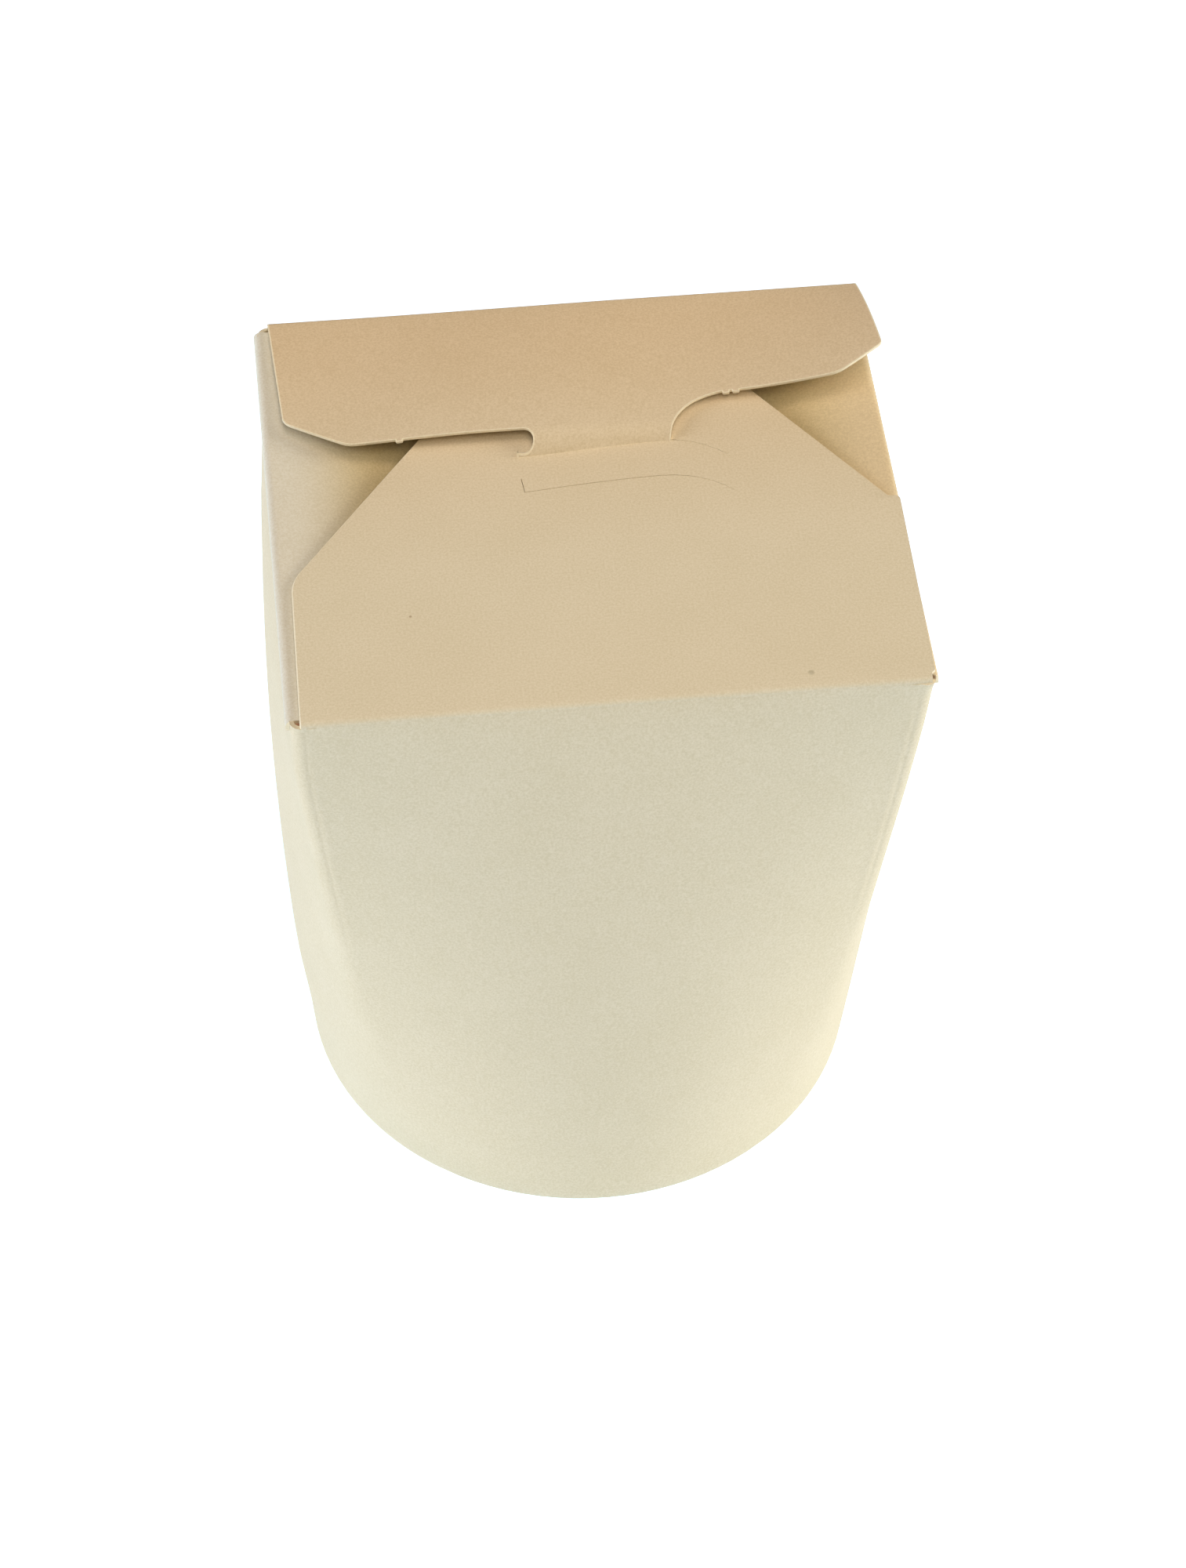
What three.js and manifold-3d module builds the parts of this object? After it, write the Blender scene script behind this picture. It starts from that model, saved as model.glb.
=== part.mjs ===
// Noodle takeaway box: a plain card carton that is square at the top, round at
// the base and shut by a locking lid flap. Millimetres, +Z up. The front wall
// faces -Y, and the origin is the middle of the base.

import * as THREE from 'three';
import { mergeVertices } from 'three/addons/utils/BufferGeometryUtils.js';
import Module from 'manifold-3d';

// Body of the carton
const TOP_WIDTH = 92;
const TOP_DEPTH = 83;
const HEIGHT = 115.5;
const BASE_RADIUS = 44.5;
const BOARD = 0.45;

// How fast the flat walls turn into the round base, going down
const ROUNDING_POWER = 0.85;

// Length round each corner at the top, and how much longer it is at the base.
// It hardly grows down to mid-height, because the corner is creased to there.
const CORNER_TOP = 2.7;
const CORNER_GROWTH = 17.0;
const CORNER_GROWTH_POWER = 4;

// Base: a standing rim with the bottom board set up inside it
const RIM_WIDTH = 1.8;
const RIM_HEIGHT = 7.0;
const RIM_ROUND = 0.35;

// Folds along the top edges
const FOLD_ROUND = 0.4;
const SIDE_FLAP_LEVEL = HEIGHT - BOARD - 0.1;

// Side flaps, which sink inwards from their folds under the two lid flaps
const SIDE_FLAP_DROOP = THREE.MathUtils.degToRad(8.5);
const SIDE_FLAP_FOLD = 45.3;
const SIDE_FLAP_INNER = 16;
const SIDE_FLAP_HALF = 40;

// Front flap, seen from above
const FRONT_FLAP = {
  foldY: -41.4,
  leftX: -44.3,
  rightX: 45.2,
  leftCornerX: -43.9,
  leftCornerY: -13.5,
  rightCornerX: 45.7,
  rightCornerY: -4.7,
  freeY: 22,
  freeLeftX: -17.2,
  freeRightX: 25.8,
  cornerRound: 2.0,
};
const FRONT_FLAP_DEPTH = BOARD + 0.15;

// Two slits across the front flap
const SLIT_WIDTH = 0.35;
const SLIT_DEPTH = 0.3;
const SLIT_SPACING = 7.5;
const SLIT_TICK = 3.0;
const SLIT_LEFT = { x: -8.7, y: 8.8 };
const SLIT_CREST = { x: 12, y: 10.4 };
const SLIT_RIGHT = { x: 22.2, y: 6.4 };

// Back flap on the flat: u across, v away from its fold
const BACK_FLAP = {
  foldY: 41.4,
  leftFoldU: -44.2,
  rightFoldU: 46.0,
  leftCornerU: -43.1,
  leftCornerV: 22.9,
  leftChamferU: -33.9,
  freeV: 28.8,
  rightCornerU: 47.3,
  rightCornerV: 19.0,
  rightChamferU: 40.0,
  rightFreeV: 22.8,
};
const NOTCH = { u: -8.0, radius: 1.7 };
const HOOK_U = -8.9;
const NECK_RIGHT = { u: 13.8, v: 31.0 };
const SHOULDER_U = 25;
const TONGUE_END_V = 33.4;

// Lift of the back flap's free edge above the lid, from left to right
const LIFT_LEFT = 0.65;
const LIFT_MIDDLE = 1.85;
const LIFT_SHOULDER = 0.75;
const LIFT_RISE_START_U = 19;
const LIFT_RISE = 0.0135;
const LIFT_RISE_POWER = 1.7;

// Small gaps at the front corners, where three folds meet
const CORNER_GAP_RADIUS = 0.6;
const CORNER_GAP_DEPTH = 1.4;

// Mesh fineness
const SEGMENTS_WALL = 8;
const SEGMENTS_CORNER = 5;
const SEGMENTS_QUARTER = 2 * SEGMENTS_WALL + SEGMENTS_CORNER;
const LEVELS = 17;
const FLAP_COLUMNS = 42;
const FLAP_ROWS = 22;

// Joining and cutting

const wasm = await Module();
wasm.setup();

function toSolid(geometry) {
  const bare = geometry.index ? geometry.clone() : geometry;
  bare.deleteAttribute('normal');
  bare.deleteAttribute('uv');
  const welded = mergeVertices(bare, 1e-4);
  return new wasm.Manifold(new wasm.Mesh({
    numProp: 3,
    vertProperties: new Float32Array(welded.attributes.position.array),
    triVerts: new Uint32Array(welded.index.array),
  }));
}

function toGeometry(solid) {
  const mesh = solid.getMesh();
  const geometry = new THREE.BufferGeometry();
  geometry.setAttribute('position', new THREE.BufferAttribute(mesh.vertProperties, 3));
  geometry.setIndex(new THREE.BufferAttribute(mesh.triVerts, 1));
  geometry.computeVertexNormals();
  return geometry;
}

// Section of the body at one height: four walls, each a shallow arc, with a
// short tight arc at each corner. At the top the walls are flat and the
// corners take the whole turn. At the base the walls take it all.

function sectionArcs(t) {
  const around = TOP_WIDTH + TOP_DEPTH;
  const circle = 2 * Math.PI * BASE_RADIUS;
  const share = Math.pow(1 - t, ROUNDING_POWER);
  const lengthX = TOP_WIDTH * t + (1 - t) * circle * TOP_WIDTH / (2 * around);
  const lengthY = TOP_DEPTH * t + (1 - t) * circle * TOP_DEPTH / (2 * around);
  const turnX = share * Math.PI * TOP_WIDTH / around;
  const turnY = share * Math.PI * TOP_DEPTH / around;
  const bendX = turnX / lengthX;
  const bendY = turnY / lengthY;
  const cornerTurn = Math.max(0, Math.PI / 2 - turnX / 2 - turnY / 2);
  const cornerLength = CORNER_TOP + CORNER_GROWTH * Math.pow(1 - t, CORNER_GROWTH_POWER);
  const half = cornerTurn / 2;
  const reach = cornerLength / 2 * (half > 1e-4 ? Math.tan(half) / half : 1);
  const sideRun = lengthY / 2 - reach;
  const frontRun = lengthX / 2 - reach;
  const cornerBend = (Math.PI / 2 - sideRun * bendY - frontRun * bendX) / cornerLength;
  return [
    { length: sideRun, bend: bendY, steps: SEGMENTS_WALL },
    { length: cornerLength, bend: cornerBend, steps: SEGMENTS_CORNER },
    { length: frontRun, bend: bendX, steps: SEGMENTS_WALL },
  ];
}

// Walks the three arcs of one quarter, from the +X axis to the +Y axis
function sectionQuarter(t) {
  const points = [new THREE.Vector2(0, 0)];
  let heading = Math.PI / 2;
  for (const arc of sectionArcs(t)) {
    const step = arc.length / arc.steps;
    for (let i = 0; i < arc.steps; i += 1) {
      const turn = arc.bend * step;
      const chord = Math.abs(turn) > 1e-9 ? step * Math.sin(turn / 2) / (turn / 2) : step;
      const last = points[points.length - 1];
      const direction = heading + turn / 2;
      points.push(new THREE.Vector2(
        last.x + chord * Math.cos(direction),
        last.y + chord * Math.sin(direction),
      ));
      heading += turn;
    }
  }
  const shift = points[points.length - 1].x;
  return points.map((p) => new THREE.Vector2(p.x - shift, p.y));
}

// One point of the whole section, counted counterclockwise from the +X axis
function sectionPoint(quarter, index) {
  const turn = Math.floor(index / SEGMENTS_QUARTER) % 4;
  const within = index % SEGMENTS_QUARTER;
  const mirrored = turn % 2 === 1;
  const source = quarter[mirrored ? SEGMENTS_QUARTER - within : within];
  const signX = turn === 1 || turn === 2 ? -1 : 1;
  const signY = turn >= 2 ? -1 : 1;
  return new THREE.Vector2(source.x * signX, source.y * signY);
}

// Heights of the rings of the body, with a small round at the rim and at the fold
function levelHeight(level) {
  if (level === 0) {
    return { z: 0, inset: RIM_ROUND };
  }
  if (level === LEVELS) {
    return { z: SIDE_FLAP_LEVEL, inset: FOLD_ROUND };
  }
  const low = RIM_ROUND;
  const high = SIDE_FLAP_LEVEL - FOLD_ROUND;
  return { z: low + (high - low) * (level - 1) / (LEVELS - 2), inset: 0 };
}

function makeBody() {
  const around = 4 * SEGMENTS_QUARTER;
  const geometry = new THREE.CylinderGeometry(1, 1, 1, around, LEVELS);
  geometry.rotateX(Math.PI / 2);
  const position = geometry.attributes.position;
  for (let i = 0; i < position.count; i += 1) {
    const radius = Math.hypot(position.getX(i), position.getY(i));
    const level = Math.round((position.getZ(i) + 0.5) * LEVELS);
    const ring = levelHeight(level);
    if (radius < 0.5) {
      position.setXYZ(i, 0, 0, ring.z);
      continue;
    }
    const angle = Math.atan2(position.getY(i), position.getX(i));
    const index = (Math.round(angle / (2 * Math.PI) * around) + around) % around;
    const point = sectionPoint(sectionQuarter(ring.z / HEIGHT), index);
    point.multiplyScalar(1 - ring.inset / point.length());
    position.setXYZ(i, point.x, point.y, ring.z);
  }
  return toSolid(geometry);
}

// Hollow under the bottom board, inside the rim
function makeBaseRecess() {
  const radius = BASE_RADIUS - RIM_WIDTH;
  const geometry = new THREE.CylinderGeometry(radius, radius, RIM_HEIGHT + 1, 4 * SEGMENTS_QUARTER);
  geometry.rotateX(Math.PI / 2);
  geometry.translate(0, 0, (RIM_HEIGHT - 1) / 2);
  return toSolid(geometry);
}

// Space above one side flap, which slopes down from its fold
function makeSideFlapDroop(side) {
  const run = SIDE_FLAP_FOLD - SIDE_FLAP_INNER;
  const drop = run * Math.tan(SIDE_FLAP_DROOP);
  const shape = new THREE.Shape([
    new THREE.Vector2(SIDE_FLAP_FOLD, SIDE_FLAP_LEVEL),
    new THREE.Vector2(SIDE_FLAP_FOLD, SIDE_FLAP_LEVEL + 1),
    new THREE.Vector2(SIDE_FLAP_INNER, SIDE_FLAP_LEVEL + 1),
    new THREE.Vector2(SIDE_FLAP_INNER, SIDE_FLAP_LEVEL - drop),
  ]);
  const length = 2 * SIDE_FLAP_HALF;
  const geometry = new THREE.ExtrudeGeometry(shape, { depth: length, bevelEnabled: false });
  geometry.rotateX(Math.PI / 2);
  geometry.translate(0, SIDE_FLAP_HALF, 0);
  if (side < 0) {
    geometry.rotateZ(Math.PI);
  }
  return toSolid(geometry);
}

// A flat outline raised into a solid between two heights
function raise(shape, low, high, curveSegments = 8) {
  const geometry = new THREE.ExtrudeGeometry(shape, {
    depth: high - low,
    bevelEnabled: false,
    curveSegments,
  });
  geometry.translate(0, 0, low);
  return toSolid(geometry);
}

// A thin strip of even width that follows a path
function ribbon(path, width) {
  const left = [];
  const right = [];
  for (let i = 0; i < path.length; i += 1) {
    const before = path[Math.max(0, i - 1)];
    const after = path[Math.min(path.length - 1, i + 1)];
    const along = after.clone().sub(before).normalize();
    const across = new THREE.Vector2(-along.y, along.x).multiplyScalar(width / 2);
    left.push(path[i].clone().add(across));
    right.push(path[i].clone().sub(across));
  }
  return new THREE.Shape([...right, ...left.reverse()]);
}

// The slit rises gently to a crest and drops away in a short tail
function slitCurve(lower) {
  const start = new THREE.Vector2(SLIT_LEFT.x, SLIT_LEFT.y - lower);
  const crest = new THREE.Vector2(SLIT_CREST.x, SLIT_CREST.y - lower);
  const end = new THREE.Vector2(SLIT_RIGHT.x, SLIT_RIGHT.y - lower);
  const path = new THREE.CurvePath();
  path.add(new THREE.QuadraticBezierCurve(start, new THREE.Vector2(4, crest.y - 0.1), crest));
  path.add(new THREE.QuadraticBezierCurve(crest, new THREE.Vector2(18, crest.y), end));
  return path;
}

function makeSlit(lower) {
  const line = raise(
    ribbon(slitCurve(lower).getPoints(8), SLIT_WIDTH),
    HEIGHT - SLIT_DEPTH,
    HEIGHT + 1,
  );
  const bottom = new THREE.Vector2(SLIT_LEFT.x, SLIT_LEFT.y - lower - SLIT_WIDTH / 2);
  const top = new THREE.Vector2(SLIT_LEFT.x - 0.3, SLIT_LEFT.y - lower + SLIT_TICK);
  const tick = raise(ribbon([bottom, top], SLIT_WIDTH), HEIGHT - SLIT_DEPTH, HEIGHT + 1);
  return line.add(tick);
}

// The stretch of the upper slit that the tongue fills
function makeFilledSlit() {
  const left = NOTCH.u + NOTCH.radius;
  const right = NECK_RIGHT.u - 0.6;
  const geometry = new THREE.BoxGeometry(right - left, 6, 4);
  geometry.translate((left + right) / 2, SLIT_CREST.y, HEIGHT);
  return toSolid(geometry);
}

// Rounded board along a fold that runs left to right
function makeFold(leftX, rightX, centreY) {
  const geometry = new THREE.CylinderGeometry(BOARD, BOARD, rightX - leftX, 16);
  geometry.rotateZ(Math.PI / 2);
  geometry.translate((leftX + rightX) / 2, centreY, HEIGHT - BOARD);
  return toSolid(geometry);
}

function makeFrontFlap() {
  const flap = FRONT_FLAP;
  const edgeY = flap.foldY + BOARD;
  const slope = Math.atan2(flap.freeY - flap.leftCornerY, flap.freeLeftX - flap.leftCornerX);
  const round = flap.cornerRound;
  const shape = new THREE.Shape();
  shape.moveTo(flap.leftX, edgeY);
  shape.lineTo(flap.rightX, edgeY);
  shape.lineTo(flap.rightCornerX, flap.rightCornerY);
  shape.lineTo(flap.freeRightX, flap.freeY);
  shape.lineTo(flap.freeLeftX, flap.freeY);
  shape.lineTo(flap.leftCornerX + round * Math.cos(slope), flap.leftCornerY + round * Math.sin(slope));
  shape.quadraticCurveTo(
    flap.leftCornerX,
    flap.leftCornerY,
    flap.leftCornerX - 0.03,
    flap.leftCornerY - round,
  );
  shape.closePath();
  const plate = raise(shape, HEIGHT - FRONT_FLAP_DEPTH, HEIGHT);
  const upperSlit = makeSlit(0).subtract(makeFilledSlit());
  const cut = plate.subtract(upperSlit).subtract(makeSlit(SLIT_SPACING));
  return cut.add(makeFold(flap.leftX, flap.rightX, edgeY));
}

// Height of the back flap above the lid at a point of the flat flap. It bows
// up from its fold, a little left of the tongue and more at the right corner,
// and past the free edge the tongue turns down into the upper slit.

function liftAtEdge(u) {
  const towardsLeft = THREE.MathUtils.smoothstep(-u, 13, 41);
  const towardsShoulder = THREE.MathUtils.smoothstep(u, -6, 17);
  const left = THREE.MathUtils.lerp(LIFT_MIDDLE, LIFT_LEFT, towardsLeft);
  const rise = Math.pow(Math.max(0, u - LIFT_RISE_START_U), LIFT_RISE_POWER);
  return THREE.MathUtils.lerp(left, LIFT_SHOULDER, towardsShoulder) + LIFT_RISE * rise;
}

// The free edge is nearer to the fold right of the tongue than left of it
function freeEdgeV(u) {
  const k = THREE.MathUtils.smoothstep(u, NECK_RIGHT.u, SHOULDER_U);
  return THREE.MathUtils.lerp(BACK_FLAP.freeV, BACK_FLAP.rightFreeV, k);
}

function slitReach(u) {
  const tail = Math.max(0, u - SLIT_CREST.x);
  const lead = Math.min(0, u - SLIT_CREST.x);
  return BACK_FLAP.foldY - SLIT_CREST.y - 0.077 * lead + 0.04 * tail * tail;
}

function backFlapPoint(u, v) {
  const edge = liftAtEdge(u);
  const free = freeEdgeV(u);
  const q = Math.min(1, v / free);
  const bowed = edge * (2 * q - q * q);
  const shortening = edge * edge * (2 / 3) / free * (1 - Math.pow(1 - q, 3));
  const past = Math.max(0, v - BACK_FLAP.freeV);
  const dive = Math.min(1.25, past / (slitReach(u) - BACK_FLAP.freeV));
  return {
    y: BACK_FLAP.foldY - (v - shortening),
    lift: bowed - edge * dive * dive,
  };
}

// Flat sheet bent to the shape of the lifted flap, larger than the flap itself
function makeBentSheet() {
  const startV = BOARD;
  const spanV = TONGUE_END_V + 1 - startV;
  const spanU = TOP_WIDTH + 4;
  const geometry = new THREE.BoxGeometry(spanU, spanV, BOARD, FLAP_COLUMNS, FLAP_ROWS, 1);
  const position = geometry.attributes.position;
  for (let i = 0; i < position.count; i += 1) {
    const u = position.getX(i);
    const v = startV + spanV / 2 - position.getY(i);
    const place = backFlapPoint(u, v);
    position.setXYZ(i, u, place.y, HEIGHT + place.lift - BOARD / 2 + position.getZ(i));
  }
  return toSolid(geometry);
}

// Outline of the flat flap, with the notch, the hook, the tongue and the shoulder
function backFlapOutline() {
  const flap = BACK_FLAP;
  const shape = new THREE.Shape();
  const notchV = flap.freeV + NOTCH.radius;
  shape.moveTo(flap.leftFoldU, BOARD / 2);
  shape.lineTo(flap.leftCornerU, flap.leftCornerV);
  shape.lineTo(flap.leftChamferU, flap.freeV);
  shape.lineTo(NOTCH.u, flap.freeV);
  shape.absarc(NOTCH.u, notchV, NOTCH.radius, -Math.PI / 2, Math.PI / 2, false);
  shape.lineTo(HOOK_U, notchV + NOTCH.radius);
  shape.lineTo(HOOK_U, TONGUE_END_V);
  shape.lineTo(NECK_RIGHT.u, TONGUE_END_V);
  shape.lineTo(NECK_RIGHT.u, NECK_RIGHT.v);
  shape.bezierCurveTo(
    NECK_RIGHT.u + 0.3,
    NECK_RIGHT.v - 2.7,
    SHOULDER_U - 7,
    flap.rightFreeV + 0.1,
    SHOULDER_U,
    flap.rightFreeV - 0.3,
  );
  shape.lineTo(flap.rightChamferU, flap.rightFreeV);
  shape.lineTo(flap.rightCornerU, flap.rightCornerV);
  shape.lineTo(flap.rightFoldU, BOARD / 2);
  shape.closePath();
  return shape;
}

// Adds points along the long edges of an outline, so that it bends with the flap
function subdivide(points, longest) {
  const result = [];
  for (let i = 0; i < points.length; i += 1) {
    const from = points[i];
    const to = points[(i + 1) % points.length];
    const parts = Math.max(1, Math.ceil(from.distanceTo(to) / longest));
    for (let k = 0; k < parts; k += 1) {
      result.push(from.clone().lerp(to, k / parts));
    }
  }
  return result;
}

function makeBackFlap() {
  const flat = backFlapOutline().extractPoints(10).shape;
  const bent = subdivide(flat, 3).map((p) => new THREE.Vector2(p.x, backFlapPoint(p.x, p.y).y));
  const prism = raise(new THREE.Shape(bent), HEIGHT - 6, HEIGHT + 12);
  const sheet = makeBentSheet().intersect(prism);
  return sheet.add(makeFold(BACK_FLAP.leftFoldU, BACK_FLAP.rightFoldU, BACK_FLAP.foldY - BOARD));
}

function makeCornerGap(x) {
  const geometry = new THREE.CylinderGeometry(
    CORNER_GAP_RADIUS,
    CORNER_GAP_RADIUS,
    CORNER_GAP_DEPTH + 1,
    10,
  );
  geometry.rotateX(Math.PI / 2);
  geometry.translate(x, FRONT_FLAP.foldY + 0.6, HEIGHT + (1 - CORNER_GAP_DEPTH) / 2);
  return toSolid(geometry);
}

// Card carton, folded from one blank

function makeCarton() {
  const body = makeBody()
    .subtract(makeBaseRecess())
    .subtract(makeSideFlapDroop(-1))
    .subtract(makeSideFlapDroop(1));
  const shut = body.add(makeFrontFlap()).add(makeBackFlap());
  return shut
    .subtract(makeCornerGap(-45.1))
    .subtract(makeCornerGap(45.8));
}

const board = new THREE.MeshStandardMaterial({
  color: new THREE.Color('#dccfb0'),
  roughness: 0.85,
  metalness: 0,
});

const carton = new THREE.Mesh(toGeometry(makeCarton()), board);
carton.name = 'carton';

const box = new THREE.Group();
box.add(carton);

export default box;
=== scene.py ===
# %% [markdown]
# # A shut noodle box of cream card
# The real box starts as one flat piece of board. It is die-cut and creased,
# wrapped round a small base disc and glued, so it is square at the top and
# round at the bottom. Four flaps shut it, and a tongue on the last flap goes
# into a slit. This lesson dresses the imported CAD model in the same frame.

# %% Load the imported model
import math

import bmesh
import bpy
from mathutils import Matrix, Vector


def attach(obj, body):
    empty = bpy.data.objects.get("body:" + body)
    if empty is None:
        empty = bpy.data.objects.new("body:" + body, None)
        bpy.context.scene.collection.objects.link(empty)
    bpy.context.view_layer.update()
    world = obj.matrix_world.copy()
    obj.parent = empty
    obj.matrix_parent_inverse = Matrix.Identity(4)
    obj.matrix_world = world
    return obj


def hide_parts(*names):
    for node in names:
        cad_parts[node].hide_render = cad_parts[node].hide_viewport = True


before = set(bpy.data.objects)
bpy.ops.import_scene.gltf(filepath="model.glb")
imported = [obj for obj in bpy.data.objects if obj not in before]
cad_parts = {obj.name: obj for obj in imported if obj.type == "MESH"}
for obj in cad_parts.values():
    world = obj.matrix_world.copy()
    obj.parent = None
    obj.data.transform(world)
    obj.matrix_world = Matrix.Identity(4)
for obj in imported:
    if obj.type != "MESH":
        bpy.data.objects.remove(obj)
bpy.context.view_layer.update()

# %% [markdown]
# ## Sizes of the box
# Everything is modelled in millimetres and scaled to metres at the end of each
# piece, because a maker of cartons thinks in millimetres. The outer sizes are
# those of the CAD model, so each board lands where its solid is. The board is a
# little thicker than in the model: its cut edge shows as a clear pale line.

# %% Name the sizes
MM = 0.001
TOP_WIDTH = 92.0
TOP_DEPTH = 83.0
HEIGHT = 115.5
BASE_RADIUS = 44.5
BOARD = 0.6
HALF_WIDTH = TOP_WIDTH / 2
HALF_DEPTH = TOP_DEPTH / 2

print(f"box {TOP_WIDTH} x {TOP_DEPTH} x {HEIGHT} mm, board {BOARD} mm")

# %% [markdown]
# ## The outline that turns from a square into a circle
# A flat sheet can bend but not stretch. So each wall keeps its length and only
# bends more and more towards the base, while the corner between two walls takes
# what is left of the quarter turn. Four arcs describe that at any height: this
# is shorter than drawing sections by hand, and it can't crumple.

# %% Arcs of a quarter of the outline
ROUNDING_POWER = 0.85
CORNER_TOP = 2.7
CORNER_GROWTH = 17.0
CORNER_GROWTH_POWER = 4


def outline_arcs(t):
    """(length, bend) of the side, the corner and the front; t is 0 at the base, 1 at the top."""
    around = TOP_WIDTH + TOP_DEPTH
    circle = 2 * math.pi * BASE_RADIUS
    share = (1 - t) ** ROUNDING_POWER
    length_x = TOP_WIDTH * t + (1 - t) * circle * TOP_WIDTH / (2 * around)
    length_y = TOP_DEPTH * t + (1 - t) * circle * TOP_DEPTH / (2 * around)
    bend_x = share * math.pi * TOP_WIDTH / around / length_x
    bend_y = share * math.pi * TOP_DEPTH / around / length_y
    half_turn = max(0.0, math.pi / 4 - (bend_x * length_x + bend_y * length_y) / 4)
    corner = CORNER_TOP + CORNER_GROWTH * (1 - t) ** CORNER_GROWTH_POWER
    reach = corner / 2 * (math.tan(half_turn) / half_turn if half_turn > 1e-6 else 1.0)
    side = length_y / 2 - reach
    front = length_x / 2 - reach
    corner_bend = (math.pi / 2 - side * bend_y - front * bend_x) / corner
    return (side, bend_y), (corner, corner_bend), (front, bend_x)


def walk(arcs, distance):
    """Place and heading after a distance along the arcs, from (0, 0) and heading along +Y."""
    x = y = heading = 0.0
    for length, bend in arcs:
        step = min(length, max(0.0, distance))
        distance -= length
        turned = heading + bend * step
        if abs(bend) < 1e-9:
            x -= step * math.sin(heading)
            y += step * math.cos(heading)
        else:
            x += (math.cos(turned) - math.cos(heading)) / bend
            y += (math.sin(turned) - math.sin(heading)) / bend
        heading = turned
    return x, y, heading


def outline_point(distance, t):
    """Point and outward direction on the quarter from the right side's middle to the back's."""
    arcs = outline_arcs(t)
    x, y, heading = walk(arcs, distance)
    end_x = walk(arcs, sum(length for length, _ in arcs))[0]
    return Vector((x - end_x, y, 0)), Vector((math.cos(heading), math.sin(heading), 0))


print("half width at mid-height:", round(outline_point(0, 0.5)[0].x, 2), "mm")

# %% [markdown]
# ## Small helpers for pieces
# Each piece ends the same way: its edges are marked sharp where the board turns
# a hard corner, it is scaled to metres, and it is tied to the CAD body that it
# rides on. One helper does that, so that no piece forgets a step.

# %% Helpers
SHARP_ANGLE = math.radians(38)


def smooth_step(value, low, high):
    k = min(1.0, max(0.0, (value - low) / (high - low)))
    return k * k * (3 - 2 * k)


def finish_piece(bm, name, materials):
    """Turns a bmesh in millimetres into a piece of the carton."""
    for face in bm.faces:
        face.smooth = True
    for edge in bm.edges:
        edge.smooth = edge.calc_face_angle(0.0) < SHARP_ANGLE
    bmesh.ops.scale(bm, vec=(MM, MM, MM), verts=bm.verts)
    mesh = bpy.data.meshes.new(name)
    bm.to_mesh(mesh)
    bm.free()
    for material in materials:
        mesh.materials.append(material)
    piece = bpy.data.objects.new(name, mesh)
    bpy.context.scene.collection.objects.link(piece)
    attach(piece, "root")
    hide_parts("carton")
    print(f"{name}: {len(mesh.vertices)} vertices, {len(mesh.polygons)} faces")


print("edges sharper than", round(math.degrees(SHARP_ANGLE)), "degrees stay sharp")

# %% [markdown]
# ## Colours
# The shaders work in linear light, while a colour picker shows sRGB. One
# function turns the hex values into linear ones, so that the values in this
# file can be compared with what the eye sees. Another adds a node to a
# material, so that each material below reads like a recipe.

# %% Colours and nodes
def linear(hex_value):
    channels = [int(hex_value[i:i + 2], 16) / 255 for i in (1, 3, 5)]
    turned = [c / 12.92 if c <= 0.04045 else ((c + 0.055) / 1.055) ** 2.4 for c in channels]
    return (*turned, 1.0)


def add(tree, kind, inputs=None, **settings):
    """Adds a node; an input is a value, or a socket to link from."""
    made = tree.nodes.new(kind)
    for name, value in settings.items():
        setattr(made, name, value)
    for name, value in (inputs or {}).items():
        if isinstance(value, bpy.types.NodeSocket):
            tree.links.new(value, made.inputs[name])
        else:
            made.inputs[name].default_value = value
    return made


print("middle grey #808080 is", round(linear("#808080")[0], 3), "in linear light")

# %% [markdown]
# ## The card
# Noodle boxes are made of solid bleached board of about 300 g/m2 that is left
# uncoated outside: pressed wood fibre, calendered but not glazed. To the eye it
# is matt and creamy, with a faint cloudiness where the fibres lie thicker, and
# a grain that only shows close up. So the colour is two creams mixed by noise:
# a soft one of 14 mm for the clouds, and a fine one for the fibres. A photo of
# real board could be used, but noise never repeats and needs no seams.

# %% Sizes of the card's pattern
CLOUD_SIZE = 14 * MM
CLOUD_SHARE = 0.2
# Real fibres are about 0.03 mm wide; 0.35 mm is the finest grain that the picture shows
FIBRE_SIZE = 0.35 * MM
FIBRE_CONTRAST = 0.15
TOOTH_SIZE = 1.6 * MM
TOOTH_DEPTH = 0.12 * MM
CARD_ROUGHNESS = 0.82
CARD_SHINE = 0.28

print("clouds, tooth and fibres in mm:",
      [round(size / MM, 2) for size in (CLOUD_SIZE, TOOTH_SIZE, FIBRE_SIZE)])


# %% [markdown]
# ## Mixing colours
# Two small functions do what every board needs. One mixes two colours by a
# share, and the other turns the two noises into that share: 0 where the board
# is pale and 1 where it is deep.

# %% Mixing helpers
def mixed(tree, share, first, second):
    return add(tree, "ShaderNodeMix", {0: share, 6: first, 7: second},
               data_type="RGBA").outputs[2]


def noise(tree, place, size, detail, roughness):
    return add(tree, "ShaderNodeTexNoise",
               {"Vector": place, "Scale": 1 / size, "Detail": detail,
                "Roughness": roughness}).outputs["Fac"]


def fibre_share(tree, place):
    clouds = noise(tree, place, CLOUD_SIZE, 3.0, 0.6)
    fibres = noise(tree, place, FIBRE_SIZE, 2.0, 0.7)
    amount = add(tree, "ShaderNodeMath", {0: clouds, 1: CLOUD_SHARE, 2: fibres},
                 operation="MULTIPLY_ADD").outputs[0]
    middle = (CLOUD_SHARE + 1) / 2
    return add(tree, "ShaderNodeMapRange",
               {"Value": amount, "From Min": middle - FIBRE_CONTRAST,
                "From Max": middle + FIBRE_CONTRAST}).outputs[0]


print("clouds weigh", CLOUD_SHARE, "of the fibres")

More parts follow.
